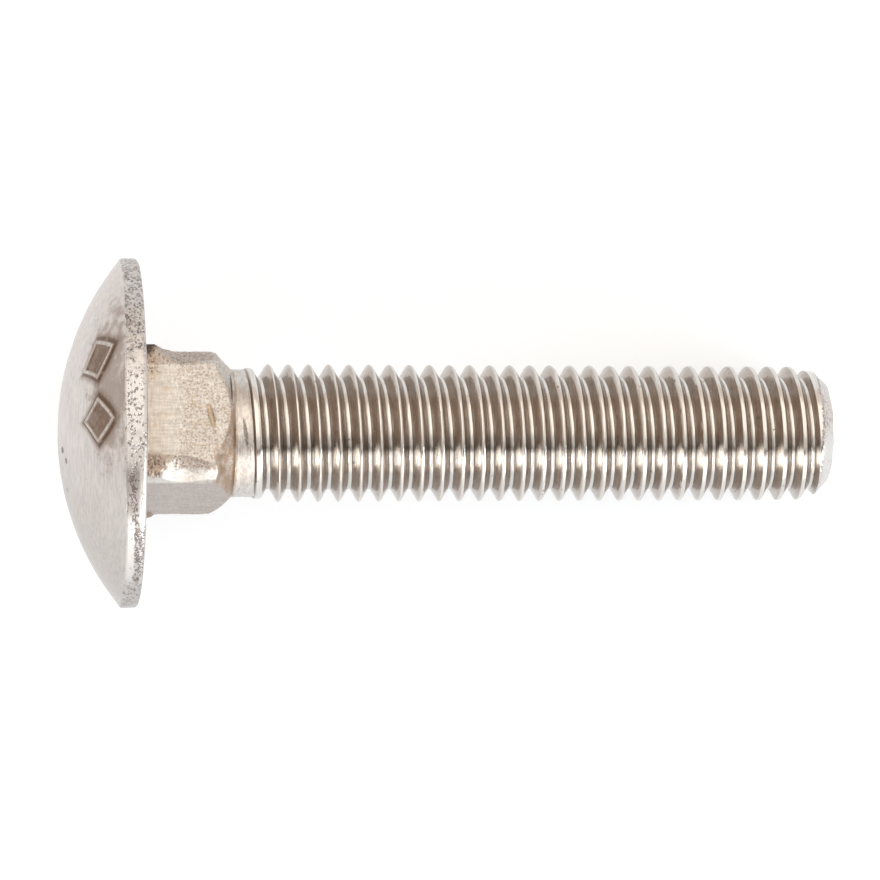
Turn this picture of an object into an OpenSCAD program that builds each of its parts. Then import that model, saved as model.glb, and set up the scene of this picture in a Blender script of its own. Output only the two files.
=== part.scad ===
// Carriage bolt, forged in one piece: a low domed head, a square neck and a coarse right-hand thread.
// It lies as it comes to rest on a table, on the rim of its head and the crests near its tip.
// X runs from the head to the tip, Z points up, and the origin is on the table below the middle of the bolt.

/* [Head] */
// Diameter of the domed head
head_d = 30; // [24:0.5:36]
// Height of the head from its flat underside to its crown
head_h = 6.8; // [6.3:0.1:9]
// Radius of the sphere that forms the dome
dome_r = 23.6; // [23:0.2:32]
// Rounding of the rim's lower edge
rim_round = 0.4; // [0.1:0.05:0.6]

/* [Square neck] */
// Width across the flats of the square neck
neck_w = 11.9; // [11:0.1:13.5]
// Diameter across its blunt corners, where the forging left them unfilled
neck_corner_d = 14.46; // [13.8:0.02:15.4]
// Length of the neck from the head's underside to the end of its taper
neck_len = 8.04; // [7:0.02:10]
// Angle of the taper that ends the neck, measured from the bolt's axis
neck_taper = 45; // [35:1:55]
// Radius of the sweep in which the corners fill out again towards the head
neck_sweep_r = 3.2; // [2.4:0.1:4]
// Spread of the flats where they run into the head
neck_flare = 0.5; // [0.2:0.05:0.8]
// Angle of the square about the bolt's axis
neck_turn = -19.8; // [-45:0.1:45]

/* [Shank] */
// Diameter of the plain shank between the neck and the thread
shank_d = 11; // [10.9:0.02:11.4]
// Length of the plain shank
shank_len = 1.1; // [0.6:0.1:6]
// Length of the bolt from the head's underside to its tip
bolt_len = 60; // [35:1:90]

/* [Thread] */
// Outer diameter over the thread's crests
thread_d = 11.8; // [11.7:0.02:12]
// Distance from one crest to the next
thread_pitch = 1.75; // [1.5:0.05:2]
// Diameter of the bar before its thread is rolled
blank_d = 10.86; // [10.7:0.02:10.88]
// Angle about the axis at which the first groove starts
thread_turn = 250; // [0:10:350]
// Steps in one turn of the thread
thread_steps = 36; // [24:12:48]

/* [Tip] */
// Length near the tip over which the last crests fall back to the bar
tip_taper_len = 2.6; // [2:0.1:4]
// Length of bar at the tip that the thread does not fill
tip_land_len = 1.7; // [1.4:0.1:1.9]
// Width of the bevel round the tip's flat end
tip_bevel = 1.1; // [0.6:0.1:1.3]

/* [Hidden] */
$fn = 96;

head_r = head_d / 2;
neck_corner_r = neck_corner_d / 2;
shank_r = shank_d / 2;
blank_r = blank_d / 2;
tip_r = blank_r - tip_bevel;

// How far each stretch runs inside the one before it, so that they join as one body
lap = 0.4;

// The dome meets the rim where its sphere has the head's radius
dome_centre = dome_r - head_h;

// Sixty-degree thread form, as shares of the pitch
thread_depth = 0.6134 * thread_pitch;
crest_r = thread_d / 2;
root_r = crest_r - thread_depth;
crest_w = thread_pitch / 8;
flank_slope = tan(30);
root_w = thread_pitch - crest_w - 2 * thread_depth * flank_slope;

// The first groove sinks to full depth in half a turn. The ridge before it starts half a turn later
// and rises over a full turn.
thread_from = neck_len + shank_len;
first_groove = thread_from + 0.29;
groove_rise_turns = 0.55;
ridge_start_turn = 0.5;
ridge_rise_turns = 1.1;
flank_min_w = 0.08;

// The helix runs on past the tip, where the tip's own outline cuts it
run_past = 0.3;
thread_turns = 1 + ceil((bolt_len + run_past - first_groove) / thread_pitch);
last_row = thread_turns * thread_steps;

// Resting pose: the axis falls towards the tip until the rim and the last full crest touch the table
floor_turn = (360 - thread_turn) / 360;
first_crest_down = first_groove + thread_pitch * (floor_turn + 0.5);
last_full_z = bolt_len - tip_taper_len;
turns_to_contact = floor((last_full_z - first_crest_down) / thread_pitch);
contact_z = first_crest_down + thread_pitch * turns_to_contact + crest_w / 2;
contact_run = contact_z + rim_round;
contact_drop = head_r - rim_round - crest_r;
rest_slope = atan2(contact_drop, contact_run) + asin(rim_round / norm([contact_run, contact_drop]));
rest_lift = (head_r - rim_round) * cos(rest_slope) - rim_round * sin(rest_slope) + rim_round;
rest_back = dome_centre * cos(rest_slope) - dome_r;
rest_front = bolt_len * cos(rest_slope) + tip_r * sin(rest_slope);
rest_middle = (rest_back + rest_front) / 2;

// Share of a rise that is done at a given turn
function rise(turn, start, length) = min(1, max(0, (turn - start) / length));

// Radius of the ridge in front of the groove, and of the groove's floor, at a given turn
function ridge_r(turn) = blank_r + (crest_r - blank_r) * rise(turn, ridge_start_turn, ridge_rise_turns);
function groove_r(turn) = blank_r - (blank_r - root_r) * rise(turn, 0, groove_rise_turns);

// Reach of a flank along the axis, from the groove's floor to a ridge of radius top_r
function flank_w(turn, top_r) = flank_min_w + (top_r - groove_r(turn)) * flank_slope
    * (1 - flank_min_w / (thread_depth * flank_slope));

// The four corners of the groove at a given turn, as radius and place along the axis:
// the ridge before it, the two ends of its floor and the ridge after it
function groove_corners(turn) =
    let (
        middle = first_groove + thread_pitch * turn,
        before_r = ridge_r(turn),
        after_r = ridge_r(turn + 1)
    )
    [
        [before_r, middle - root_w / 2 - flank_w(turn, before_r)],
        [groove_r(turn), middle - root_w / 2],
        [groove_r(turn), middle + root_w / 2],
        [after_r, middle + root_w / 2 + flank_w(turn, after_r)]
    ];

// A point of the thread from its angle, radius and place along the axis
function around(angle, radius, z) = [radius * cos(angle), radius * sin(angle), z];
function row_angle(row) = thread_turn + 360 * row / thread_steps;

// One body with the helical groove: rows of four corners wound round the bar, closed by a ring at each end
module thread_body() {
    rows = [
        for (row = [0:last_row])
            for (corner = groove_corners(row / thread_steps))
                around(row_angle(row), corner[0], corner[1])
    ];
    end_z = first_groove + thread_pitch * (thread_turns + 1);
    start_z = thread_from - lap;
    start_ring = [for (step = [0:thread_steps - 1]) around(row_angle(step), blank_r, start_z)];
    end_ring = [for (step = [0:thread_steps - 1]) around(row_angle(step), crest_r, end_z)];
    row_points = 4 * (last_row + 1);
    function at(row, corner) = 4 * row + corner;
    function start(step) = row_points + step % thread_steps;
    function end(step) = row_points + thread_steps + step % thread_steps;
    last_turn = last_row - thread_steps;

    groove_faces = [
        for (row = [0:last_row - 1])
            for (corner = [0:2])
                each [
                    [at(row, corner), at(row, corner + 1), at(row + 1, corner + 1)],
                    [at(row, corner), at(row + 1, corner + 1), at(row + 1, corner)]
                ]
    ];
    crest_faces = [
        for (row = [0:last_turn - 1])
            each [
                [at(row, 3), at(row + thread_steps, 0), at(row + thread_steps + 1, 0)],
                [at(row, 3), at(row + thread_steps + 1, 0), at(row + 1, 3)]
            ]
    ];
    start_faces = [
        for (step = [0:thread_steps - 2])
            each [
                [start(step), at(step, 0), at(step + 1, 0)],
                [start(step), at(step + 1, 0), start(step + 1)]
            ]
    ];
    start_seam = [
        [start(thread_steps - 1), at(thread_steps - 1, 0), start(0)],
        [start(0), at(thread_steps - 1, 0), at(0, 0)],
        for (corner = [0:2]) [at(0, corner), at(thread_steps - 1, 0), at(0, corner + 1)],
        [at(0, 3), at(thread_steps - 1, 0), at(thread_steps, 0)]
    ];
    end_faces = [
        for (step = [1:thread_steps - 1])
            each [
                [at(last_turn + step, 3), end(step), end(step + 1)],
                [at(last_turn + step, 3), end(step + 1), at(last_turn + step + 1, 3)]
            ]
    ];
    end_seam = [
        [at(last_turn + 1, 3), end(0), end(1)],
        [at(last_turn + 1, 3), at(last_row, 3), end(0)],
        for (corner = [0:2]) [at(last_turn + 1, 3), at(last_row, corner), at(last_row, corner + 1)],
        [at(last_turn + 1, 3), at(last_turn, 3), at(last_row, 0)]
    ];
    start_cap = [[for (step = [0:thread_steps - 1]) start(step)]];
    end_cap = [[for (step = [thread_steps - 1:-1:0]) end(step)]];
    side_faces = concat(groove_faces, crest_faces);
    start_end_faces = concat(start_cap, start_faces, start_seam);
    tip_end_faces = concat(end_faces, end_seam, end_cap);
    polyhedron(
        points = concat(rows, start_ring, end_ring),
        faces = concat(side_faces, start_end_faces, tip_end_faces)
    );
}

// What the bar's own end leaves of the thread: a taper, a short plain land and a bevelled flat tip
module tip_outline() {
    clear_r = crest_r + 1;
    rotate_extrude()
        polygon([
            [0, thread_from - 2 * lap],
            [clear_r, thread_from - 2 * lap],
            [clear_r, last_full_z - (clear_r - crest_r)],
            [crest_r, last_full_z],
            [blank_r, bolt_len - tip_land_len],
            [blank_r, bolt_len - tip_bevel],
            [tip_r, bolt_len],
            [0, bolt_len]
        ]);
}

// Threaded length, cut to shape at the tip
module thread() {
    intersection() {
        thread_body();
        tip_outline();
    }
}

// Domed head with a flat underside and a rounded lower edge
module head() {
    rotate_extrude()
        intersection() {
            translate([0, dome_centre]) circle(r = dome_r, $fn = 4 * $fn);
            translate([0, -head_h])
                union() {
                    square([head_r - rim_round, head_h]);
                    square([head_r, head_h - rim_round]);
                    translate([head_r - rim_round, head_h - rim_round]) circle(r = rim_round);
                }
        }
}

// Round outline that the square neck fills: full at the head, blunt corners, then the taper to the shank
module neck_outline() {
    sweep_from = neck_w / sqrt(2) + neck_flare + 0.5;
    taper_len = (neck_corner_r - shank_r) / tan(neck_taper);
    sweep_centre_r = neck_corner_r + neck_sweep_r;
    sweep_centre_z = neck_flare + neck_sweep_r;
    rotate_extrude()
        difference() {
            polygon([
                [0, -lap],
                [sweep_from, -lap],
                [sweep_from, sweep_centre_z],
                [neck_corner_r, sweep_centre_z],
                [neck_corner_r, neck_len - taper_len],
                [shank_r, neck_len],
                [0, neck_len]
            ]);
            translate([sweep_centre_r, sweep_centre_z]) circle(r = neck_sweep_r);
        }
}

// Square neck that keeps the bolt from turning in its hole
module neck() {
    intersection() {
        rotate([0, 0, neck_turn])
            union() {
                translate([0, 0, (neck_len - lap) / 2]) cube([neck_w, neck_w, neck_len + lap], center = true);
                linear_extrude(neck_flare, scale = neck_w / (neck_w + 2 * neck_flare))
                    square(neck_w + 2 * neck_flare, center = true);
            }
        neck_outline();
    }
}

// Plain shank
module shank() {
    translate([0, 0, neck_len - lap]) cylinder(r = shank_r, h = shank_len + lap);
}

// The whole forging, laid down on the table
module bolt() {
    color("silver")
        translate([-rest_middle, 0, rest_lift])
            rotate([0, 90 + rest_slope, 0]) {
                head();
                neck();
                shank();
                thread();
            }
}

bolt();
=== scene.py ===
"""Carriage bolt of plain stainless steel, lying on a pale table under soft studio light.

The bolt is built along its own axis: "along" runs from the head's flat underside to the tip, and angles
go round the axis. In a mesh they start at +Y, and in a material at the side that faces up. The bolt is
then laid down where the CAD node lies.
"""

import math

import bpy
import numpy as np
from bpy.props import FloatProperty, FloatVectorProperty, IntProperty, PointerProperty
from mathutils import Matrix, Vector, noise


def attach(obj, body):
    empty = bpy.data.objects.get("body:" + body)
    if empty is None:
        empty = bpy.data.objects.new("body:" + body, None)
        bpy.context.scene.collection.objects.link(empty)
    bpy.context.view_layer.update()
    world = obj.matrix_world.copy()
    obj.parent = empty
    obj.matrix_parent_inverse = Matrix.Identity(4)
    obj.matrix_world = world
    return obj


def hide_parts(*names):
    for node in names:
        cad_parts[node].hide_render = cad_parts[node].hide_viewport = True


bl_info = {
    "name": "Carriage bolt",
    "version": (1, 0, 0),
    "blender": (4, 5, 0),
    "location": "3D View > Sidebar > Bolt",
    "description": "Builds a carriage bolt with a rolled thread, and the table and lights round it",
    "category": "Object",
}

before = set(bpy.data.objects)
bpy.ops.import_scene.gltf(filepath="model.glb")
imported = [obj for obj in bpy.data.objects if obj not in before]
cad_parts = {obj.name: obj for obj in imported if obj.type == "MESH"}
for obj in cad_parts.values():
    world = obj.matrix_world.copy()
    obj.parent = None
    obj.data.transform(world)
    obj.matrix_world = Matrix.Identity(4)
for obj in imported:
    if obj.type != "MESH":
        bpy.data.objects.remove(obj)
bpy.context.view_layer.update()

MM = 0.001
TURN = 2 * math.pi
NODE = "bolt"
PIECE = "carriage_bolt"

# Where the bolt lies: the middle of the head's underside, and the slope of the axis down to the tip
SEAT = Vector((-26.4591464, 0.0, 14.7530086)) * MM
SLOPE = math.radians(9.0993593)
LYING = Matrix.Translation(SEAT) @ Matrix.Rotation(SLOPE, 4, "Y")

# Places along the axis in millimetres: where the thread's mesh starts inside the neck, its first crest, the
# fine line before it, and the bevel. Then the depth of the nicks, the land before the bevel and its fall
THREAD_START, FIRST_CREST, LINE_START, BEVEL_START = 6.6, 11.24, 9.175, 58.8
NICK_DEPTH, LAND, LAND_FALL = 0.12, 1.7, 0.52

# Shares of a turn: where the fine line is back at its start, and over how much it comes back
LINE_BACK, LINE_RETURN = 0.62, 0.12

# The square's turn and its two lower corners in degrees, and the dent's place along and round, and slant
SQUARE_TURN, NEAR_CORNER, FAR_CORNER = 70.2, 115.2, 205.2
DENT_ALONG, DENT_ANGLE, DENT_SLANT = 5.93, 75.4, 0.0214


# Sizes and colours


class HeadSizes(bpy.types.PropertyGroup):
    """Sizes of the domed head."""

    diameter: FloatProperty(
        name="Diameter", description="Diameter of the head",
        default=30 * MM, min=24 * MM, max=36 * MM, unit="LENGTH",
    )
    height: FloatProperty(
        name="Height", description="Crown above the flat underside",
        default=6.8 * MM, min=5 * MM, unit="LENGTH",
    )
    dome_radius: FloatProperty(
        name="Dome radius", description="Radius of the dome's sphere",
        default=23.6 * MM, min=20 * MM, unit="LENGTH",
    )
    rim_round: FloatProperty(
        name="Rim rounding", description="Rounding of the rim's lower edge",
        default=0.4 * MM, min=0, unit="LENGTH",
    )
    shoulder: FloatProperty(
        name="Shoulder", description="Rounding between the dome and the rim",
        default=0.12 * MM, min=0, unit="LENGTH",
    )
    fuller: FloatProperty(
        name="Fuller side", description="Extra height of the rim on its upper side",
        default=0.38 * MM, unit="LENGTH",
    )
    steps: IntProperty(name="Steps round", description="Steps round the head", default=288, min=48, max=720)


class NeckSizes(bpy.types.PropertyGroup):
    """Sizes of the square neck."""

    width: FloatProperty(
        name="Width", description="Width across the flats", default=11.9 * MM, min=11 * MM, unit="LENGTH"
    )
    corners: FloatProperty(
        name="Corners", description="Diameter across the blunt corners", default=14.48 * MM, unit="LENGTH"
    )
    length: FloatProperty(
        name="Length", description="From the underside to the end of the taper",
        default=8.04 * MM, unit="LENGTH",
    )
    sweep: FloatProperty(
        name="Sweep", description="Radius in which the corners fill out towards the head",
        default=3.2 * MM, unit="LENGTH",
    )
    turn: FloatProperty(
        name="Turn", description="Turn of the square about the axis",
        default=math.radians(SQUARE_TURN), subtype="ANGLE",
    )
    steps: IntProperty(name="Steps round", description="Steps round the neck", default=300, min=64, max=720)


class ThreadSizes(bpy.types.PropertyGroup):
    """Sizes of the shank, the thread and the tip."""

    shank_radius: FloatProperty(
        name="Shank radius", description="Radius of the plain shank", default=5.49 * MM, unit="LENGTH"
    )
    bar_radius: FloatProperty(
        name="Bar radius", description="Radius of the bar before rolling", default=5.43 * MM, unit="LENGTH"
    )
    crest_radius: FloatProperty(
        name="Crest radius", description="Radius over the crests", default=5.9 * MM, unit="LENGTH"
    )
    root_radius: FloatProperty(
        name="Root radius", description="Radius of the grooves' floor", default=4.84 * MM, unit="LENGTH"
    )
    pitch: FloatProperty(name="Pitch", description="From crest to crest", default=1.75 * MM, unit="LENGTH")
    length: FloatProperty(
        name="Length", description="From the head's underside to the tip", default=60 * MM, unit="LENGTH"
    )
    bevel: FloatProperty(
        name="Bevel", description="Width of the tip's bevel", default=1.1 * MM, unit="LENGTH"
    )
    steps: IntProperty(
        name="Steps round", description="Steps in one turn of the thread", default=96, min=24, max=160
    )
    rows: IntProperty(name="Rows", description="Rows across one pitch", default=14, min=8, max=24)
    seed: IntProperty(name="Seed", description="Seed of the small nicks", default=7)


class SteelColours(bpy.types.PropertyGroup):
    """Colours of the steel."""

    dome: FloatVectorProperty(
        name="Dome", description="Satin steel of the dome",
        default=(0.56, 0.53, 0.505), min=0, max=1, subtype="COLOR",
    )
    rim: FloatVectorProperty(
        name="Rim", description="Etched steel of the rim",
        default=(0.625, 0.61, 0.6), min=0, max=1, subtype="COLOR",
    )
    neck: FloatVectorProperty(
        name="Neck", description="Pale steel of the neck",
        default=(0.6, 0.578, 0.548), min=0, max=1, subtype="COLOR",
    )
    crest: FloatVectorProperty(
        name="Crest", description="Bright crests and roots",
        default=(0.63, 0.61, 0.585), min=0, max=1, subtype="COLOR",
    )
    flank: FloatVectorProperty(
        name="Flank", description="Browner flanks of the thread",
        default=(0.455, 0.41, 0.375), min=0, max=1, subtype="COLOR",
    )
    warm: FloatVectorProperty(
        name="Warm steel", description="Steel with a straw tint",
        default=(0.74, 0.66, 0.57), min=0, max=1, subtype="COLOR",
    )
    # The stain colour is also laid as the painted shadow inside and beside the lozenges' ribs
    stain: FloatVectorProperty(
        name="Stain", description="Brown oxide from forging",
        default=(0.165, 0.105, 0.07), min=0, max=1, subtype="COLOR",
    )
    soot: FloatVectorProperty(
        name="Soot", description="Dark scale in pits and creases",
        default=(0.035, 0.027, 0.024), min=0, max=1, subtype="COLOR",
    )


class StudioSizes(bpy.types.PropertyGroup):
    """Table, lights and camera."""

    table: FloatProperty(
        name="Table", description="Width of the table", default=4.0, min=0.5, unit="LENGTH"
    )
    table_colour: FloatVectorProperty(
        name="Table colour", description="Colour of the table",
        default=(0.58, 0.61, 0.645), min=0, max=1, subtype="COLOR",
    )
    lens: FloatProperty(
        name="Lens", description="Focal length in millimetres", default=190.808, min=20, max=400
    )


class BoltSettings(bpy.types.PropertyGroup):
    """Everything that the panel shows."""

    head: PointerProperty(type=HeadSizes)
    neck: PointerProperty(type=NeckSizes)
    thread: PointerProperty(type=ThreadSizes)
    colours: PointerProperty(type=SteelColours)
    studio: PointerProperty(type=StudioSizes)


# Node trees written as sums


class Term:
    """A value in a node tree, which can be added, multiplied and compared as a number can."""

    def __init__(self, tree, socket):
        self.tree = tree
        self.socket = socket

    def __add__(self, other):
        return calc(self.tree, "ADD", self, other)

    __radd__ = __add__

    def __mul__(self, other):
        return calc(self.tree, "MULTIPLY", self, other)

    __rmul__ = __mul__

    def __sub__(self, other):
        return calc(self.tree, "SUBTRACT", self, other)

    def __rsub__(self, other):
        return calc(self.tree, "SUBTRACT", other, self)

    def __truediv__(self, other):
        return calc(self.tree, "DIVIDE", self, other)

    def __rtruediv__(self, other):
        return calc(self.tree, "DIVIDE", other, self)

    def over(self, other):
        """1 where this is larger than the other value, and 0 elsewhere."""
        return calc(self.tree, "GREATER_THAN", self, other)

    def size(self):
        return calc(self.tree, "ABSOLUTE", self)


def plug(tree, value, socket):
    """Links a term to a socket, or writes a plain value on it."""
    if isinstance(value, Term):
        tree.links.new(value.socket, socket)
    else:
        socket.default_value = value


def calc(tree, operation, *values, clamp=False):
    """One Math node as a term."""
    node = tree.nodes.new("ShaderNodeMath")
    node.operation = operation
    node.use_clamp = clamp
    for socket, value in zip(node.inputs, values):
        plug(tree, value, socket)
    return Term(tree, node.outputs[0])


def low(first, second):
    return calc(first.tree, "MINIMUM", first, second)


def high(first, second):
    return calc(first.tree, "MAXIMUM", first, second)


def low_round(first, second, rounding):
    return calc(first.tree, "SMOOTH_MIN", first, second, rounding)


def high_round(first, second, rounding):
    return calc(first.tree, "SMOOTH_MAX", first, second, rounding)


def share(value, start, end):
    """0 at start and 1 at end, straight between them, and held outside them."""
    return calc(value.tree, "DIVIDE", value - start, end - start, clamp=True)


def soft_share(value, start, end):
    """As share, but eased at both ends."""
    part = share(value, start, end)
    return part * part * (3 - 2 * part)


def line_turns(turn_share):
    """Turns by which the fine line has followed the helix: half a turn, and then back to its start."""
    return high(low(turn_share, (LINE_BACK - turn_share) * (0.5 / LINE_RETURN)), 0.0)


def add_node(tree, kind, inputs=None, **settings):
    """A node of a kind, with its settings and with values or terms on its inputs."""
    node = tree.nodes.new(kind)
    for name, value in settings.items():
        setattr(node, name, value)
    for name, value in (inputs or {}).items():
        plug(tree, value, node.inputs[name])
    return node


def out(node, name=0):
    return Term(node.id_data, node.outputs[name])


# Thread, rolled on a bar


def thread_tree():
    """Node tree that rolls the thread: rows of points that follow the helix, closed at both ends."""
    tree = bpy.data.node_groups.new("Rolled thread", "GeometryNodeTree")
    sizes = {}
    face = tree.interface
    lengths = ["Start", "Length", "Pitch", "First crest", "Shank radius", "Bar radius"]
    for name in [*lengths, "Crest radius", "Root radius", "Bevel", "Nick depth"]:
        socket = face.new_socket(name, in_out="INPUT", socket_type="NodeSocketFloat")
        socket.subtype = "DISTANCE"
    for name in ("Steps round", "Rows per pitch", "Seed"):
        face.new_socket(name, in_out="INPUT", socket_type="NodeSocketInt")
    face.new_socket("Steel", in_out="INPUT", socket_type="NodeSocketMaterial")
    face.new_socket("Bolt", in_out="OUTPUT", socket_type="NodeSocketGeometry")
    given = tree.nodes.new("NodeGroupInput")
    for item in face.items_tree:
        if item.in_out == "INPUT":
            sizes[item.name] = out(given, item.name)
    start, end, pitch = sizes["Start"], sizes["Length"], sizes["Pitch"]
    crest_radius, root_radius, bar = sizes["Crest radius"], sizes["Root radius"], sizes["Bar radius"]

    # Rows: enough of them to close both ends, whatever the angle
    closing = 1.0 * MM
    first_turn = (start - closing - sizes["First crest"]) / pitch - 1
    last_turn = (end + closing - sizes["First crest"]) / pitch
    rows = calc(tree, "CEIL", (last_turn - first_turn) * sizes["Rows per pitch"])
    grid = add_node(
        tree,
        "GeometryNodeMeshGrid",
        {"Size X": 1.0, "Size Y": 1.0, "Vertices X": sizes["Steps round"] + 1, "Vertices Y": rows + 1},
    )
    place = out(add_node(tree, "GeometryNodeInputPosition"))
    split = add_node(tree, "ShaderNodeSeparateXYZ", {0: place})
    round_share = out(split, 0) + 0.5
    even = first_turn + (out(split, 1) + 0.5) * (rows / sizes["Rows per pitch"])

    # Rows crowd at the crests and the roots
    helix = even - 0.055 * calc(tree, "SINE", even * (2 * TURN))
    raw = sizes["First crest"] + pitch * (helix + round_share)
    along = high(low(raw, end), start)

    # The groove sinks in over half a turn and a little more, and the ridge beside it rises in two steps
    groove = calc(tree, "FLOOR", helix) + 0.5
    groove_turn = groove + round_share
    ridge_turn = calc(tree, "ROUND", helix) + round_share
    sunk = soft_share(groove_turn, -1.075, -0.5)
    risen = high(share(ridge_turn, -1.6, -0.95) * 0.40, share(ridge_turn, -0.75, -0.12))
    floor_radius = bar - (bar - root_radius) * sunk
    from_groove = calc(tree, "ABSOLUTE", helix - groove) * pitch
    floor_half = pitch * 0.085
    flank = floor_radius + (from_groove - floor_half) * (1 / math.tan(math.radians(30)))
    valley = high_round(floor_radius, flank, 0.16 * MM)

    # Small nicks along the crests
    off_crest = helix - calc(tree, "ROUND", helix)
    nick_place = add_node(
        tree,
        "ShaderNodeCombineXYZ",
        {"X": ridge_turn * 90.0, "Y": sizes["Seed"] * 3.7, "Z": off_crest * 2.0},
    )
    nicks = add_node(tree, "ShaderNodeTexNoise", {"Vector": out(nick_place), "Scale": 1.0, "Detail": 2.0})
    taper = share(along, 9 * MM, 58 * MM)
    ridge = bar + (crest_radius + 0.045 * MM - 0.11 * MM * taper - bar) * risen
    ridge = ridge - sizes["Nick depth"] * high(out(nicks, "Fac") - 0.5, 0.0) * risen
    radius = low_round(valley, ridge, 0.10 * MM)

    # Plain shank up to a fine line, which follows the helix for half a turn
    past = along - LINE_START * MM - pitch * line_turns(round_share)
    thread = soft_share(past, -0.03 * MM, 0.03 * MM)
    radius = sizes["Shank radius"] + (radius - sizes["Shank radius"]) * thread
    there = share(round_share, 0.0, 0.04) * (1 - share(round_share, 0.44, 0.56))
    radius = radius - 0.07 * MM * there * (1 - share(calc(tree, "ABSOLUTE", past), 0.02 * MM, 0.15 * MM))

    # Tip: the last crests fall back to the bar, then the bevel
    fall = bar + high(end - LAND * MM - along, 0.0) * LAND_FALL
    edge = bar - (along - end + sizes["Bevel"])
    radius = low_round(radius, low(fall, edge), 0.05 * MM)

    # Ends close on the axis, the tip a little hollow
    closed = share(high(raw - end, start - raw), 0.0, 0.9 * closing)
    radius = radius * (1 - closed)
    dish = 0.12 * MM * soft_share(closed, 0.05, 0.5) * calc(tree, "GREATER_THAN", raw, end)
    along = along - dish

    angle = round_share * TURN
    point = add_node(
        tree,
        "ShaderNodeCombineXYZ",
        {"X": along, "Y": radius * calc(tree, "COSINE", angle), "Z": radius * calc(tree, "SINE", angle)},
    )
    wound = add_node(tree, "GeometryNodeSetPosition", {"Geometry": out(grid), "Position": out(point)})
    welded = add_node(tree, "GeometryNodeMergeByDistance", {"Geometry": out(wound), "Distance": 0.002 * MM})
    real = add_node(tree, "GeometryNodeRealizeInstances", {"Geometry": out(welded)})
    coated = add_node(tree, "GeometryNodeSetMaterial", {"Geometry": out(real), "Material": sizes["Steel"]})
    result = tree.nodes.new("NodeGroupOutput")
    tree.links.new(coated.outputs[0], result.inputs["Bolt"])
    return tree


def placed(name, data):
    """A new object in the scene that holds some data."""
    item = bpy.data.objects.new(name, data)
    bpy.context.scene.collection.objects.link(item)
    return item


def grown(name, tree, values):
    """A plain mesh made by a node tree from named input values."""
    mesh = bpy.data.meshes.new(name + "_seed")
    holder = placed(name + "_seed", mesh)
    modifier = holder.modifiers.new(name, "NODES")
    modifier.node_group = tree
    for item in tree.interface.items_tree:
        if item.in_out == "INPUT":
            modifier[item.identifier] = values[item.name]
    graph = bpy.context.evaluated_depsgraph_get()
    made = bpy.data.meshes.new_from_object(holder.evaluated_get(graph), depsgraph=graph)
    holder.modifiers.remove(modifier)
    bpy.data.objects.remove(holder)
    bpy.data.meshes.remove(mesh)
    made.name = name
    return made


# Rings wound round the axis


def ring_mesh(name, along, radius, angle):
    """A closed mesh from rows of points round the axis. Both end rows close on a point."""
    rows, steps = radius.shape
    points = np.stack([along, radius * np.cos(angle), radius * np.sin(angle)], -1).reshape(-1, 3)
    first_pole = [along[0].mean(), 0.0, 0.0]
    last_pole = [along[-1].mean(), 0.0, 0.0]
    points = np.vstack([points, first_pole, last_pole])
    faces = []
    for row in range(rows - 1):
        for step in range(steps):
            after = (step + 1) % steps
            here, there = row * steps, (row + 1) * steps
            faces.append((here + step, here + after, there + after, there + step))
    first, last, end = rows * steps, rows * steps + 1, (rows - 1) * steps
    for step in range(steps):
        after = (step + 1) % steps
        faces.append((first, after, step))
        faces.append((end + step, end + after, last))
    mesh = bpy.data.meshes.new(name)
    mesh.from_pydata((points * MM).tolist(), [], faces)
    mesh.validate()
    return mesh


def ruffle(points, size, seed, octaves=3):
    """Smooth noise between about -1 and 1 at each point, with bumps of a size in millimetres."""
    shift = Vector((seed * 17.3, seed * -5.1, seed * 9.7))
    flat = points.reshape(-1, 3) / size
    values = [noise.fractal(Vector(p) + shift, 1.0, 2.0, octaves) for p in flat]
    return np.array(values).reshape(points.shape[:-1])


def in_space(along, radius, angle):
    return np.stack([along, radius * np.cos(angle), radius * np.sin(angle)], -1)


def bump(first, first_middle, first_half, second, second_middle, second_half, power=2.0):
    """1 in the middle of a soft-edged patch and 0 outside it."""
    reach = np.abs((first - first_middle) / first_half) ** power
    reach = reach + np.abs((second - second_middle) / second_half) ** power
    return np.clip(1 - reach, 0, 1)


def eased(value, start, end):
    part = np.clip((value - start) / (end - start), 0, 1)
    return part * part * (3 - 2 * part)


# Head

# Plain raised lozenges on the dome: the angles and the radius of their middles, their half sizes round and
# out, and the half width and height of their ribs
LOZENGES = (57.0, 84.5)
LOZENGE_MIDDLE, LOZENGE_ROUND, LOZENGE_OUT = 11.4, 1.75, 1.95
RIB_HALF, RIB_HEIGHT = 0.16, 0.16

# Small pits near the crown: how far each lies across and up from the axis, its reach and its darkness
CROWN_PITS = ((-1.44, 3.10, 0.34, 1.0), (-2.35, 4.25, 0.30, 0.75), (-4.83, 2.90, 0.22, 0.5))


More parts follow.
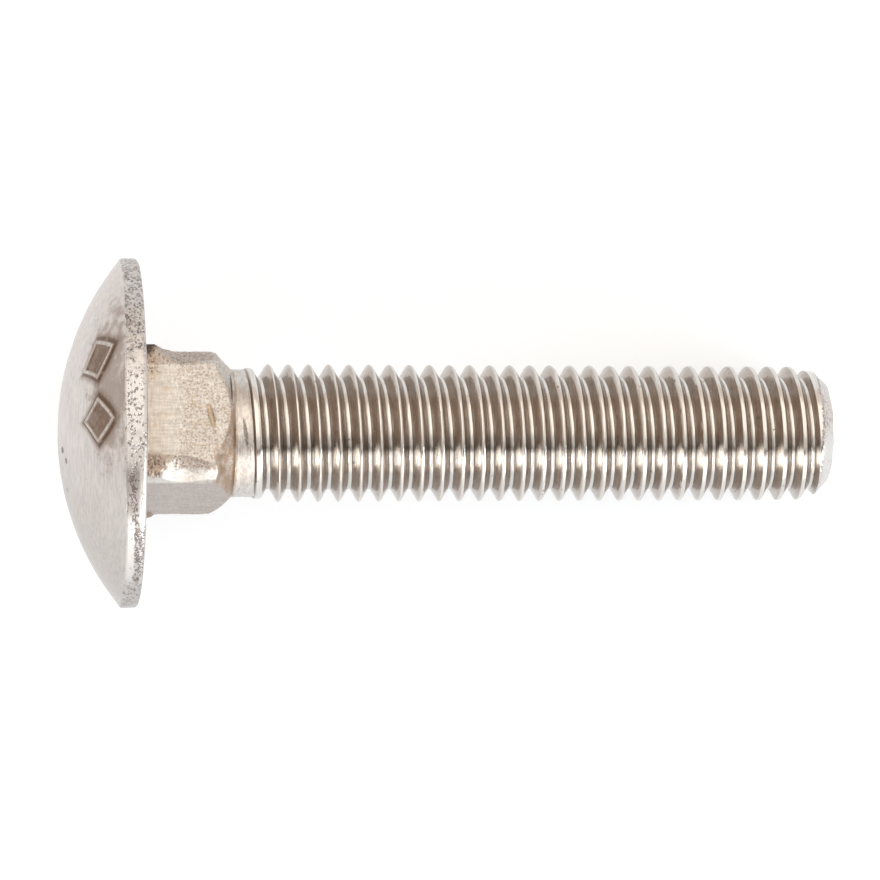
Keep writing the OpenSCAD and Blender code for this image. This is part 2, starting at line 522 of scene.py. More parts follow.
def head_rows(sizes):
    """Places along the axis and radii of the head's rows, from the crown over the rim to the underside."""
    radius, height = sizes.diameter / 2 / MM, sizes.height / MM
    dome, edge, shoulder = sizes.dome_radius / MM, sizes.rim_round / MM, sizes.shoulder / MM
    middle_radius, inner = radius - shoulder, dome - shoulder
    middle = dome - height - math.sqrt(inner**2 - middle_radius**2)
    dome_edge = middle_radius * dome / inner
    reach = [*np.linspace(0.25, 8.9, 20), *np.linspace(9.02, 13.7, 48), *np.linspace(13.85, dome_edge, 9)]
    rows = [(dome - height - math.sqrt(dome**2 - r**2), r) for r in reach]
    steepest = math.acos(middle_radius / inner)
    for angle in np.linspace(steepest, 0, 9)[1:]:
        rows.append((middle - shoulder * math.sin(angle), middle_radius + shoulder * math.cos(angle)))
    rows += [(place, radius) for place in np.linspace(middle, -edge, 6)[1:-1]]
    for angle in np.linspace(0, math.pi / 2, 6):
        rows.append((-edge + edge * math.sin(angle), radius - edge + edge * math.cos(angle)))
    rows += [(0.0, place) for place in (14.0, 12.5, 10.8, 9.4, 7.5, 4.0, 0.5)]
    return np.array(rows)


def crowded(steps, start, end, times):
    """Angles of a full turn that stand closer together between two angles, all in radians."""
    weight_edges = np.array([0, start, end, TURN])
    weights = np.array([1, times, 1]) * np.diff(weight_edges)
    reach = np.concatenate([[0], np.cumsum(weights)]) / weights.sum()
    return np.interp(np.arange(steps) / steps, reach, weight_edges)


def head_mesh(sizes):
    """Domed head, with the unevenness that forging leaves."""
    rows = head_rows(sizes)
    turn = crowded(sizes.steps, math.radians(44), math.radians(98), 3.0)
    angle = np.tile(turn, (len(rows), 1))
    along = np.tile(rows[:, :1], (1, len(turn)))
    radius = np.tile(rows[:, 1:], (1, len(turn)))
    points = in_space(along, radius, angle)
    fuller = sizes.fuller / MM * np.exp(-(((np.degrees(angle) - 82) / 32) ** 2))
    fuller *= eased(radius, 12.6, 15.0) * np.clip((-0.45 - along) / 0.9, 0, 1)
    along -= fuller
    radius -= 0.15 * fuller
    on_dome = eased(14.9 - radius, 0, 0.5) * (along < -1.0)
    on_rim = eased(radius, 14.3, 14.8)
    wave = ruffle(points, 5.0, 1) * 0.02 + ruffle(points, 1.3, 2) * 0.006
    along += (0.03 + np.clip(wave, -0.03, 0.05)) * on_dome
    dents = np.clip(0.035 * ruffle(points, 0.9, 3, 4) + 0.02 * ruffle(points, 3.0, 4), -0.03, 0.08)
    radius -= on_rim * (0.03 + dents)
    for middle in LOZENGES:
        across = (np.degrees(angle) - middle) * math.radians(LOZENGE_MIDDLE)
        off = outline_gap(across, radius - LOZENGE_MIDDLE)
        along -= RIB_HEIGHT * eased(RIB_HALF + 0.12 - off, 0, 0.22) * on_dome
    return ring_mesh("head", along, radius, turn)


def outline_gap(across, outward):
    """Distance from the outline of a lozenge, in millimetres."""
    steep = 1 / math.hypot(1 / LOZENGE_ROUND, 1 / LOZENGE_OUT)
    return np.abs(np.abs(across) / LOZENGE_ROUND + np.abs(outward) / LOZENGE_OUT - 1) * steep


# Neck


def neck_mesh(sizes):
    """Square neck with blunt corners, swept out to the head and tapered to the shank."""
    turn = crowded(sizes.steps, math.radians(24), math.radians(160), 1.6)
    spans = ((-0.3, 2.2, 26), (2.34, 5.5, 24), (5.6, 8.16, 34))
    places = np.concatenate([np.linspace(*span) for span in spans])
    angle = np.tile(turn, (len(places), 1))
    along = np.tile(places[:, None], (1, len(turn)))
    degrees = np.degrees(angle)
    half, corner = sizes.width / 2 / MM, sizes.corners / 2 / MM
    sweep, length = sizes.sweep / MM, sizes.length / MM
    quarter = TURN / 4
    off_flat = (angle - sizes.turn + quarter / 2) % quarter - quarter / 2
    spread = np.clip(0.5 - along, 0, 0.5) ** 1.5 * 1.2
    points = in_space(along, np.full_like(along, 6.0), angle)
    flat_wave = ruffle(points, 2.2, 5) * 0.015 + ruffle(points, 0.35, 9, 2) * 0.007 * eased(along, 2.6, 4.2)
    square = (half + spread + flat_wave) / np.cos(off_flat)
    reach = np.clip(3.7 - along, 0, sweep)
    uneven = ruffle(points, 1.0, 6) * 0.09 + ruffle(points, 0.3, 7, 2) * 0.02
    narrower = 0.42 * eased(along, 3.4, 6.0) * eased(40 - np.abs(degrees - NEAR_CORNER), 0, 20)
    flared = sweep - np.sqrt(sweep**2 - reach**2)
    flared *= 1 - 0.9 * eased(32 - np.abs(degrees - FAR_CORNER), 0, 16)
    blunt = corner + flared + uneven + narrower
    off_corner = np.degrees(np.abs(off_flat)) - 45
    tongue = 0.45 * np.clip(1 - (off_corner / 10) ** 2, 0, 1) * (1 - eased(along, 6.5, 7.3))
    taper = 5.5 + (length - along) + ruffle(points, 1.1, 8) * 0.03 + tongue
    radius = smooth_low(square, blunt, 0.10)
    radius = smooth_low(radius, taper, 0.12)

    # A dent near the end of the upper flat, and flash left at two corners beside the head
    tilt = along - DENT_ALONG - DENT_SLANT * (degrees - DENT_ANGLE)
    radius -= 0.13 * bump(tilt, 0, 0.30, degrees, DENT_ANGLE, 12.0)
    flash = bump(along, 1.1, 1.1, degrees, 111.0, 8.0, 4.0) * eased(ruffle(points, 0.26, 12), -0.1, 0.4)
    radius += 0.24 * flash
    radius += 0.26 * bump(along, 0.95, 0.6, degrees, 197.0, 5.0, 3.0)
    crease = bump(along, 7.78, 0.14, degrees, 46.0, 18.0, 4.0)
    radius -= 0.05 * crease
    return ring_mesh("neck", along, radius, turn)


def smooth_low(first, second, rounding):
    """The smaller of two values, with the corner between them rounded."""
    gap = np.clip(rounding - np.abs(first - second), 0, None) / rounding
    return np.minimum(first, second) - gap**3 * rounding / 6


# One forging from the three forms


def joined(meshes, name):
    """One closed mesh from meshes that run into each other."""
    base = placed(name, meshes[0])
    others = []
    for mesh in meshes[1:]:
        other = placed(mesh.name, mesh)
        cut = base.modifiers.new(mesh.name, "BOOLEAN")
        cut.operation = "UNION"
        cut.solver = "MANIFOLD"
        cut.object = other
        cut.material_mode = "TRANSFER"
        others.append(other)
    graph = bpy.context.evaluated_depsgraph_get()
    made = bpy.data.meshes.new_from_object(base.evaluated_get(graph), depsgraph=graph)
    base.modifiers.clear()
    for item in [base, *others]:
        bpy.data.objects.remove(item)
    made.name = name
    return made


# Steel


def shared_group(name, inputs, outputs):
    """A shader node group with its sockets, its inputs as terms, and the node that its results go to."""
    tree = bpy.data.node_groups.new(name, "ShaderNodeTree")
    for label, kind, value in inputs:
        socket = tree.interface.new_socket(label, in_out="INPUT", socket_type=kind)
        if value is not None:
            socket.default_value = value
    for label, kind in outputs:
        tree.interface.new_socket(label, in_out="OUTPUT", socket_type=kind)
    given = tree.nodes.new("NodeGroupInput")
    terms = {label: out(given, label) for label, *_ in inputs}
    return tree, terms, tree.nodes.new("NodeGroupOutput")


FLOAT, VECTOR = "NodeSocketFloat", "NodeSocketVector"


def place_group():
    """Place on the bolt in millimetres: along its axis, out from it, and round it from the upper side."""
    outputs = [("Place", VECTOR), ("Along", FLOAT), ("Across", FLOAT), ("Up", FLOAT), ("Radius", FLOAT)]
    outputs += [("Angle", FLOAT), ("Outward", FLOAT)]
    tree, _, result = shared_group("bolt_place", [], outputs)
    object_place = out(tree.nodes.new("ShaderNodeTexCoord"), "Object")
    lie = {"Vector": object_place, "Location": tuple(SEAT), "Rotation": (0, SLOPE, 0), "Scale": (MM,) * 3}
    mapped = out(add_node(tree, "ShaderNodeMapping", lie, vector_type="TEXTURE"))
    split = add_node(tree, "ShaderNodeSeparateXYZ", {0: mapped})
    along, across, up = out(split, 0), out(split, 1), out(split, 2)
    radius = calc(tree, "SQRT", across * across + up * up)
    angle = calc(tree, "ARCTAN2", across * -1.0, up) * math.degrees(1)
    surface = out(tree.nodes.new("ShaderNodeNewGeometry"), "Normal")
    lean = {"Vector": surface, "Rotation": (0, SLOPE, 0)}
    turned = add_node(tree, "ShaderNodeMapping", lean, vector_type="TEXTURE")
    normal = add_node(tree, "ShaderNodeSeparateXYZ", {0: out(turned)})
    outward = (out(normal, 1) * across + out(normal, 2) * up) / high(radius, 0.01)
    values = (mapped, along, across, up, radius, angle, outward)
    for (label, _), value in zip(outputs, values):
        plug(tree, value, result.inputs[label])
    return tree


def grain_group():
    """Soft uneven grain, stretched along an axis of the place: about 0.5 on average."""
    inputs = [("Place", VECTOR, None), ("Stretch", VECTOR, (1, 1, 1))]
    inputs += [("Scale", FLOAT, 1.0), ("Detail", FLOAT, 3.0)]
    tree, terms, result = shared_group("metal_grain", inputs, [("Grain", FLOAT)])
    pulled = add_node(tree, "ShaderNodeMapping", {"Vector": terms["Place"], "Scale": terms["Stretch"]})
    cloud = {"Vector": out(pulled), "Scale": terms["Scale"], "Detail": terms["Detail"], "Roughness": 0.62}
    plug(tree, out(add_node(tree, "ShaderNodeTexNoise", cloud), "Fac"), result.inputs["Grain"])
    return tree


def speck_group():
    """Small dark pits of ragged outline: 1 inside a pit. Share says how many of the places have one."""
    inputs = [("Place", VECTOR, None), ("Spacing", FLOAT, 0.3), ("Share", FLOAT, 0.5), ("Size", FLOAT, 0.4)]
    tree, terms, result = shared_group("steel_specks", inputs, [("Speck", FLOAT)])
    ragged = add_node(tree, "ShaderNodeTexNoise", {"Vector": terms["Place"], "Scale": 4.5, "Detail": 1.0})
    centring = {0: out(ragged, "Color"), 1: (0.5, 0.5, 0.5)}
    shift = add_node(tree, "ShaderNodeVectorMath", centring, operation="SUBTRACT")
    small = add_node(tree, "ShaderNodeVectorMath", {0: out(shift), "Scale": 0.40}, operation="SCALE")
    moved = add_node(tree, "ShaderNodeVectorMath", {0: terms["Place"], 1: out(small)}, operation="ADD")
    cells = add_node(tree, "ShaderNodeTexVoronoi", {"Vector": out(moved), "Scale": 1.0 / terms["Spacing"]})
    lot = out(add_node(tree, "ShaderNodeSeparateColor", {0: out(cells, "Color")}), 0)
    reach = terms["Size"] * (0.55 + 0.45 * calc(tree, "FRACT", lot * 7.3))
    inside = 1 - soft_share(out(cells, "Distance"), reach * 0.45, reach)
    plug(tree, inside * calc(tree, "LESS_THAN", lot, terms["Share"]), result.inputs["Speck"])
    return tree


class Finish:
    """A steel material while it is made: its tree, the place on the bolt, and what feeds its shader."""

    def __init__(self, name):
        self.material = bpy.data.materials.new(name)
        self.material.use_nodes = True
        self.tree = self.material.node_tree
        self.shader = self.tree.nodes["Principled BSDF"]
        self.shader.inputs["Metallic"].default_value = 1.0
        self.colour = None
        at = self.group("bolt_place", place_group, {})
        for label in ("Place", "Along", "Across", "Up", "Radius", "Angle", "Outward"):
            setattr(self, label.lower(), out(at, label))

    def group(self, name, make, inputs):
        """A node of a shared group, which is made when it is first asked for."""
        node = self.tree.nodes.new("ShaderNodeGroup")
        node.node_tree = bpy.data.node_groups.get(name) or make()
        for label, value in inputs.items():
            plug(self.tree, value, node.inputs[label])
        return node

    def moved(self, stretch=(1, 1, 1), shift=0.0):
        node = add_node(self.tree, "ShaderNodeMapping", {"Vector": self.place, "Scale": stretch})
        node.inputs["Location"].default_value = (shift, shift, shift)
        return out(node)

    def grain(self, scale, stretch=(1, 1, 1), detail=3.0, shift=0.0):
        inputs = {"Place": self.moved(shift=shift) if shift else self.place, "Stretch": stretch}
        return out(self.group("metal_grain", grain_group, {**inputs, "Scale": scale, "Detail": detail}))

    def specks(self, spacing, share_of, size, stretch=(1, 1, 1), shift=0.0):
        inputs = {"Place": self.moved(stretch, shift), "Spacing": spacing, "Share": share_of, "Size": size}
        return out(self.group("steel_specks", speck_group, inputs))

    def mix(self, amount, first, second):
        """A colour between two colours."""
        node = self.tree.nodes.new("ShaderNodeMix")
        node.data_type = "RGBA"
        plug(self.tree, amount, node.inputs[0])
        for value, socket in ((first, node.inputs[6]), (second, node.inputs[7])):
            plug(self.tree, value if isinstance(value, Term) else (*value, 1), socket)
        return out(node, 2)

    def lay(self, amount, colour):
        """Lays a colour over the finish, as strongly as an amount says."""
        self.colour = self.mix(amount, self.colour, colour)

    def shade(self, amount):
        """Makes the finish lighter or darker by a factor."""
        scaling = {0: self.colour, "Scale": amount}
        self.colour = out(add_node(self.tree, "ShaderNodeVectorMath", scaling, operation="SCALE"))

    def patch(self, *limits, soft=1.0, ragged=None):
        """1 inside an oval patch and 0 outside it, from (value, middle, half-width) for each direction."""
        reach = 0.0 if ragged is None else ragged
        for value, middle, half in limits:
            off = (value - middle) * (1.0 / half)
            reach = off * off + reach
        return 1 - soft_share(reach, 1 - soft, 1.0)

    def band(self, value, start, end, soft):
        """1 between two values, with soft edges."""
        begun = soft_share(value, start - soft / 2, start + soft / 2)
        return begun * (1 - soft_share(value, end - soft / 2, end + soft / 2))

    def done(self, roughness, height, depth):
        """Feeds the shader. The height is in shares of a depth in millimetres."""
        plug(self.tree, self.colour, self.shader.inputs["Base Color"])
        plug(self.tree, roughness, self.shader.inputs["Roughness"])
        relief = {"Height": height, "Distance": depth * MM, "Strength": 1.0}
        plug(self.tree, out(add_node(self.tree, "ShaderNodeBump", relief)), self.shader.inputs["Normal"])
        return self.material


def head_steel(colours):
    """Satin steel of the dome, etched on the rim, with a brown stain, painted shadow and a painted
    highlight round the raised lozenges, and painted shade on the dome's lower side.
    """
    f = Finish("head_steel")
    clouds = f.grain(0.28, detail=2.0)
    mottle = f.grain(1.1, detail=4.0, shift=11.0)
    streak = f.grain(0.9, (7.0, 0.5, 2.2), 3.0)
    fine = f.grain(3.0, (1.6, 0.7, 1.0), 5.0, 5.0)
    f.colour = f.mix(soft_share(clouds, 0.38, 0.62), colours.dome, (0.545, 0.500, 0.485))
    f.lay(soft_share(mottle, 0.45, 0.70) * 0.6, (0.555, 0.495, 0.455))
    # Painted shade: the dome is made darker on its lower side
    painted_low_side_shade = soft_share(f.angle, 0.0, 80.0) * (1 - soft_share(f.angle, 110.0, 175.0))
    f.lay(painted_low_side_shade, (0.415, 0.385, 0.360))
    lines = soft_share(streak, 0.36, 0.62)
    f.shade(0.79 + 0.15 * lines + 0.26 * fine)

    # Brown stain round the lozenges, with painted shadow inside them and beside their ribs, and a painted
    # highlight on their tops
    on_rim = soft_share(f.radius, 14.74, 14.84) * f.along.over(-2.0)
    on_dome = (f.along * -1.0).over(1.3) * (1 - on_rim)
    uneven = (mottle - 0.5) * 3.2
    halo = f.patch((f.angle, -20.0, 37.0), (f.radius, 12.9, 3.7), soft=1.0, ragged=uneven) * on_dome
    gap = None
    for middle in LOZENGES:
        across = ((f.angle - (middle - 90.0)) * math.radians(LOZENGE_MIDDLE)).size() * (1 / LOZENGE_ROUND)
        outward = (f.radius - LOZENGE_MIDDLE).size() * (1 / LOZENGE_OUT)
        reach = (across + outward - 1) * (1 / math.hypot(1 / LOZENGE_ROUND, 1 / LOZENGE_OUT))
        gap = reach if gap is None else low(gap, reach)
    painted_rib_highlight = (1 - soft_share(gap.size(), RIB_HALF * 0.4, RIB_HALF + 0.05)) * on_dome
    painted_rib_shadow = (1 - soft_share(gap, 0.15, 1.15)) * on_dome * (0.68 + 0.32 * soft_share(mottle, 0.36, 0.54))
    f.lay(halo * 0.68, (0.285, 0.22, 0.185))
    # Painted shadow: the stain colour laid inside the lozenges and beside their ribs
    f.lay(painted_rib_shadow * (0.92 + 0.7 * (fine - 0.5)), colours.stain)
    # Painted shadow: a dark band just outside each rib
    outline = f.band(gap, RIB_HALF * 0.8, 0.46, 0.20) * on_dome * soft_share(mottle, 0.34, 0.50)
    f.lay(outline * 0.8, (0.115, 0.07, 0.045))
    # Painted highlight: the ribs' tops are made paler
    f.lay(painted_rib_highlight * (0.5 + 0.4 * soft_share(fine, 0.4, 0.6)), (0.60, 0.56, 0.52))

    # Pits near the crown
    pits = 0.0
    chipped = (fine - 0.5) * 1.6
    for across, up, reach, dark in CROWN_PITS:
        pit = f.patch((f.across, across, reach), (f.up, up, reach * 1.5), soft=0.5, ragged=chipped)
        pits = high(pit * dark, pits)
    pits = pits * on_dome
    f.lay(pits, colours.soot)

    # Rim: etched all over its upper part, clearer in the middle, and a dark line wanders along the rest
    upper = 1 - soft_share(f.angle + (mottle - 0.5) * 40.0, -34.0, -16.0)
    lower = soft_share(f.angle, 52.0, 62.0)
    middle = f.band(f.angle, -22.0, 14.0, 8.0)
    drift = (f.grain(0.7, detail=1.0, shift=21.0) - 0.5) * 0.9
    wander = f.along - (-1.15 + 0.50 * soft_share(f.angle, 14.0, 46.0) + drift)
    line = (1 - soft_share(wander.size(), 0.10, 0.34)) * f.band(f.angle, 10.0, 58.0, 6.0)
    grey = f.band(f.angle, 11.0, 27.0, 5.0) * (1 - soft_share(f.along, -0.80, -0.55))
    small = (1.0, 0.8, 0.8)
    etched = f.specks(0.31, 0.62, 0.95, small, 6.0)
    share_dark = high(high(0.55 * upper, 0.60 * lower), high(0.42 * middle, 0.24))
    dots = f.specks(0.235, share_dark, 0.72, small)
    spots = f.specks(0.36, 0.42, 0.50, (1.1, 0.8, 0.8), 13.0) * middle
    crease = 1 - soft_share((f.grain(2.4, detail=2.0, shift=3.0) - 0.5).size(), 0.020, 0.065)
    squiggles = f.band(f.angle, 32.0, 54.0, 5.0) * soft_share(f.along, -0.95, -0.6)
    broken = high(crease, dots * 0.8) * high(line, squiggles)
    rim_tone = high(etched * high(0.85 * upper, 0.70 * lower), high(grey * 0.85, line * 0.5)) * on_rim
    dotted = high(high(upper, lower), high(middle, high(grey, 0.45)))
    rim_dark = high(dots * dotted, high(broken * 1.2, spots * 0.75)) * on_rim
    f.lay(on_rim * 0.8, colours.rim)
    f.shade(1 - 0.24 * on_rim * high(upper * 0.5, lower))
    f.lay(rim_tone * 0.72, (0.22, 0.185, 0.17))
    f.lay(low(rim_dark, 1.0) * (0.78 - 0.10 * middle), (0.125, 0.095, 0.085))
    under = f.along.over(-0.2) * (1 - soft_share(f.radius, 13.5, 14.4))
    f.lay(under * (1 - soft_share(f.radius, 8.5, 10.5)) * 0.5, colours.warm)

    roughness = 0.30 + 0.14 * (fine - 0.5) + 0.10 * (mottle - 0.5) + 0.18 * halo + 0.08 * on_rim
    height = 0.30 * fine + 0.20 * lines - 1.2 * rim_dark - 1.0 * rim_tone - 1.6 * pits
    height = height + 0.30 * on_rim * f.grain(3.0, shift=8.0)
    return f.done(roughness, height, 0.045)


def neck_steel(colours):
    """Warmer steel of the neck: drawn streaks, peening near the shank, blunt corners, a taper with dark
    streaks and painted brown shade, painted shade on the lower flat and a painted highlight on the lower
    corner.
    """
    f = Finish("neck_steel")
    mottle = f.grain(0.9, detail=4.0, shift=4.0)
    drawn = f.grain(4.2, (0.18, 1.4, 1.4), 5.0)
    peen = f.grain(5.4, detail=3.0, shift=9.0)
    fine = f.grain(8.0, detail=2.0, shift=6.0)
    off = calc(f.tree, "FLOORED_MODULO", f.angle + (135.0 - SQUARE_TURN), 90.0) - 45.0
    corner = soft_share(off.size() - 4.5 * soft_share(f.along, 3.2, 6.3), 33.5, 35.5)
    corner = corner * (1 - soft_share(f.along + off.size() * -0.06, 3.7, 4.0))
    f.colour = f.mix(soft_share(mottle, 0.35, 0.65), (0.545, 0.515, 0.480), colours.neck)
    head_side = 1 - soft_share(f.along, 0.6, 3.0)
    f.lay(head_side * 0.6, (0.50, 0.435, 0.37))
    # Painted shade: the lower flat is made darker grey
    painted_shade_flat = f.band(f.angle, 36.0, 120.0, 4.0)
    f.lay(painted_shade_flat * 0.9, (0.435, 0.385, 0.36))
    peened = soft_share(f.along + (mottle - 0.5) * 4.0, 2.2, 3.8) * (1 - painted_shade_flat * 0.7)
    stipple = soft_share(peen, 0.46, 0.57)
    scored = soft_share(drawn, 0.36, 0.62)
    across = soft_share(f.grain(3.0, (1.8, 0.35, 0.35), 4.0, 25.0), 0.36, 0.62)
    f.shade(0.70 + 0.16 * scored + 0.16 * across + 0.32 * (fine - 0.4))
    dots = soft_share(peen, 0.53, 0.60)
    f.lay(peened * (0.16 * stipple + 0.50 * dots), (0.30, 0.215, 0.155))
    tan = soft_share(f.grain(0.9, (0.8, 1.2, 1.2), 5.0, 31.0), 0.54, 0.66) * (1 - painted_shade_flat)
    f.lay(tan * 0.45, (0.44, 0.34, 0.23))
    blotches = soft_share(f.grain(1.5, (0.5, 1.0, 1.0), 4.0, 15.0), 0.42, 0.60)
    f.lay(painted_shade_flat * blotches * 0.30, (0.33, 0.29, 0.265))
    upper_corner = corner * (1 - soft_share(f.angle, 22.0, 26.0))
    scaly = (0.55 + 0.45 * stipple) * upper_corner
    f.lay(scaly * 0.66, (0.33, 0.255, 0.205))
    # Painted highlight: the lower corner is made paler
    f.lay(corner * soft_share(f.angle, 22.0, 26.0) * 0.6, (0.70, 0.68, 0.65))
    specks = f.specks(0.30, 0.40, 0.60, shift=2.0) * corner
    f.lay(specks * (0.2 + 0.4 * upper_corner), (0.17, 0.13, 0.12))

    # Taper, with painted brown shade on its upper side
    on_taper = (1 - soft_share(f.outward, 0.80, 0.93)) * soft_share(f.along, 5.9, 6.4)
    cloudy = soft_share(f.grain(1.2, (1.0, 0.8, 0.8), 3.0), 0.25, 0.5)
    # Painted shade: a cloudy brown laid on the taper, where it reflects dim surroundings
    brown = on_taper * f.band(f.angle, -38.0, 110.0, 14.0) * cloudy
    f.lay(brown * 0.7, (0.42, 0.31, 0.235))
    low_taper = on_taper * f.band(f.angle, 0.0, 66.0, 10.0)
    streaks = soft_share(f.grain(2.2, (1.1, 0.35, 0.35), 3.0, 37.0), 0.44, 0.58)
    f.lay(low_taper * streaks * 0.60, (0.30, 0.19, 0.12))
    foot = soft_share(f.along + (fine - 0.5) * 0.3, 7.72, 7.92) * f.band(f.angle, -8.0, 74.0, 12.0)
    f.lay(foot * 0.75, (0.17, 0.10, 0.065))
    line = f.patch((f.along, 7.79, 0.10), (f.angle, -44.0, 18.0), soft=0.6)
    f.lay(line * 0.85, colours.soot)

    # Dent, scale at the upper corner and stained flash at the lower one
    dent_angle = DENT_ANGLE - 90.0
    tilt = f.along - DENT_ALONG - (f.angle - dent_angle) * DENT_SLANT
    dent = f.patch((tilt, 0.0, 0.26), (f.angle, dent_angle, 12.0), soft=0.5)
    f.lay(dent * 0.7, (0.44, 0.33, 0.20))
    ragged = (peen - 0.5) * 2.4
    slant = f.along + (f.angle + 68.0) * 0.05
    scale = f.patch((slant, 0.3, 1.5), (f.angle, -66.5, 10.0), soft=0.5, ragged=ragged)
    f.lay(scale * 0.92, colours.soot)
    rusty = f.patch((f.along, 0.7, 1.4), (f.angle, -52.0, 13.0), soft=1.0, ragged=ragged)
    f.lay(rusty * (0.10 + 0.45 * stipple), (0.32, 0.20, 0.12))
    f.lay(rusty * f.specks(0.22, 0.5, 0.6, shift=27.0) * 0.7, colours.soot)
    flash = f.patch((f.along, 1.1, 1.3), (f.angle, 21.0, 10.0), soft=0.7, ragged=ragged)
    f.lay(flash * soft_share(peen, 0.45, 0.55) * 0.75, (0.36, 0.26, 0.20))
    nub = f.patch((f.along, 0.9, 0.8), (f.angle, 107.0, 9.0), soft=0.6)
    f.lay(nub * 0.8, (0.25, 0.18, 0.14))
    seat = 1 - soft_share(f.along, 0.05, 0.40)
    f.lay(seat * 0.55, colours.stain)

    roughness = 0.36 + 0.14 * (fine - 0.5) + 0.10 * stipple * peened
    roughness = roughness + 0.08 * upper_corner - 0.06 * painted_shade_flat
    height = 0.12 * scored + 0.10 * across + 0.60 * peen * peened + 0.15 * fine
    height = height - 0.6 * specks - 0.5 * scale - 0.5 * flash * peen
    return f.done(roughness, height, 0.045)


def thread_steel(colours, pitch):
    """Rolled steel: browner on the flanks, clean on crests and roots, pale on shank and bevel, with painted
    highlights low on the flanks and the bevel, and painted shade on the lower roots and the shank.
    """
    f = Finish("thread_steel")
    rolled = soft_share(f.grain(1.3, (5.5, 0.30, 0.30), 4.0), 0.34, 0.66)
    mottle = f.grain(0.8, detail=3.0, shift=2.0)
    fine = f.grain(6.0, detail=2.0, shift=7.0)
    plain = soft_share(f.outward, 0.56, 0.92)
    flank = f.mix(soft_share(mottle, 0.35, 0.65), colours.flank, (0.43, 0.375, 0.33))
    tarnish = soft_share(f.grain(1.7, (1.0, 0.5, 0.5), 4.0, 19.0), 0.50, 0.66)
    flank = f.mix(tarnish * 0.5, flank, (0.36, 0.29, 0.235))
    # Painted highlight: the flanks are made paler in a band on the thread's lower side
    painted_light_band = f.band(f.angle, 17.0, 36.0, 7.0)
    flank = f.mix(painted_light_band * 0.40, flank, (0.68, 0.645, 0.605))
    f.colour = f.mix(plain, flank, colours.crest)
    # Painted shade: the roots are made darker on the lower side, more so in the band of painted highlight
    painted_root_shade = (1 - soft_share(f.radius, 4.95, 5.25)) * soft_share(f.angle, -6.0, 8.0)
    painted_root_shade = painted_root_shade * (1 - soft_share(f.angle, 110.0, 175.0))
    f.shade(1 - (0.12 + 0.10 * painted_light_band) * painted_root_shade)
    bevel = soft_share(f.along, BEVEL_START, BEVEL_START + 0.2)
    past = f.along - LINE_START - pitch * line_turns((f.angle + 90.0) * (1 / 360))
    shank = 1 - soft_share(past, -0.03, 0.03)
    scored = (1 - soft_share(past.size(), 0.03, 0.10)) * f.band(f.angle, -100.0, 72.0, 10.0)
    f.lay(shank * soft_share(mottle, 0.4, 0.6) * 0.35, colours.warm)
    # Painted shade: the shank is made darker, most on its upper side, to dim its highlight
    f.shade(1 - shank * (0.10 + 0.14 * f.band(f.angle, -50.0, -22.0, 14.0)))
    f.shade(0.86 + 0.16 * rolled + 0.08 * fine)
    f.lay(scored * 0.8, (0.16, 0.115, 0.095))
    marks = f.specks(0.55, 0.10, 0.30, shift=1.0)
    f.lay(marks * (1 - bevel) * 0.7, colours.soot)
    tip_marks = f.specks(0.30, 0.34, 0.50, (1, 0.7, 0.7), 5.0) * bevel
    off_burr = (f.along - (BEVEL_START + 0.15) - (mottle - 0.5) * 0.8).size()
    burr = (1 - soft_share(off_burr, 0.05, 0.22)) * soft_share(fine, 0.42, 0.56)
    f.lay(bevel * 0.5, (0.74, 0.72, 0.71))
    f.lay(soft_share(fine, 0.46, 0.58) * bevel * 0.65, (0.40, 0.37, 0.37))
    f.lay(high(tip_marks * 0.7, burr * 0.8), (0.17, 0.145, 0.14))
    slant = f.along - 0.012 * f.angle
    rub = f.patch((slant, 8.90, 0.22), (f.angle, 0.0, 16.0), soft=0.8, ragged=(fine - 0.5) * 2.0)
    f.lay(rub * 0.85, (0.12, 0.10, 0.10))
    edge = 1 - soft_share(f.along, 8.12, 8.30)
    f.lay(edge * soft_share(mottle, 0.3, 0.55) * 0.75, (0.33, 0.22, 0.13))
    worn = soft_share(f.grain(2.4, (1.5, 0.8, 0.8), 5.0, 17.0), 0.46, 0.60)
    f.lay(shank * worn * 0.40, (0.36, 0.30, 0.26))
    pinkish = f.patch((f.along, 8.5, 0.5), (f.angle, 13.0, 13.0), soft=1.0, ragged=(mottle - 0.5) * 2.0)
    f.lay(pinkish * (0.2 + 0.35 * worn), (0.36, 0.30, 0.29))
    # Painted highlight: the bevel is made paler on its lower side
    f.lay(bevel * f.band(f.angle, -2.0, 70.0, 24.0) * 0.5, (0.66, 0.65, 0.645))
    roughness = 0.17 + 0.10 * (rolled - 0.5) + 0.08 * (mottle - 0.5) + 0.20 * bevel + 0.12 * shank
    height = 0.30 * rolled + 0.25 * fine * (bevel + shank) - 0.4 * worn * shank - 1.0 * marks
    return f.done(roughness, height, 0.02)


# Studio

CAMERA_PLACE = (0.012406, -0.000587, 0.413752)
CAMERA_YAW = math.radians(1.846)
TABLE_GLOW = 0.445

# Watts on a square metre of softbox that make it look white
WHITE_WATTS = 2.47

# Name, place, what it faces, size, level and colour of each softbox
SOFTBOXES = (
    ("side_softbox", (0.25, -0.5, 0.3), (0.25, 0.0, 0.3), (1.5, 0.56), 1.9, (1.0, 0.985, 0.96)),
    ("end_softbox", (0.62, -0.44, 0.2), (0.0, 0.0, 0.01), (0.5, 0.36), 7.5, (0.84, 0.95, 1.0)),
    ("left_softbox", (-0.62, -0.44, 0.16), (-0.02, 0.0, 0.01), (0.34, 0.3), 2.9, (0.90, 0.96, 1.0)),
    ("top_softbox", (0.17, 0.42, 0.85), (0.0, 0.0, 0.0), (1.0, 1.15), 1.08, (1.0, 0.94, 0.85)),
)


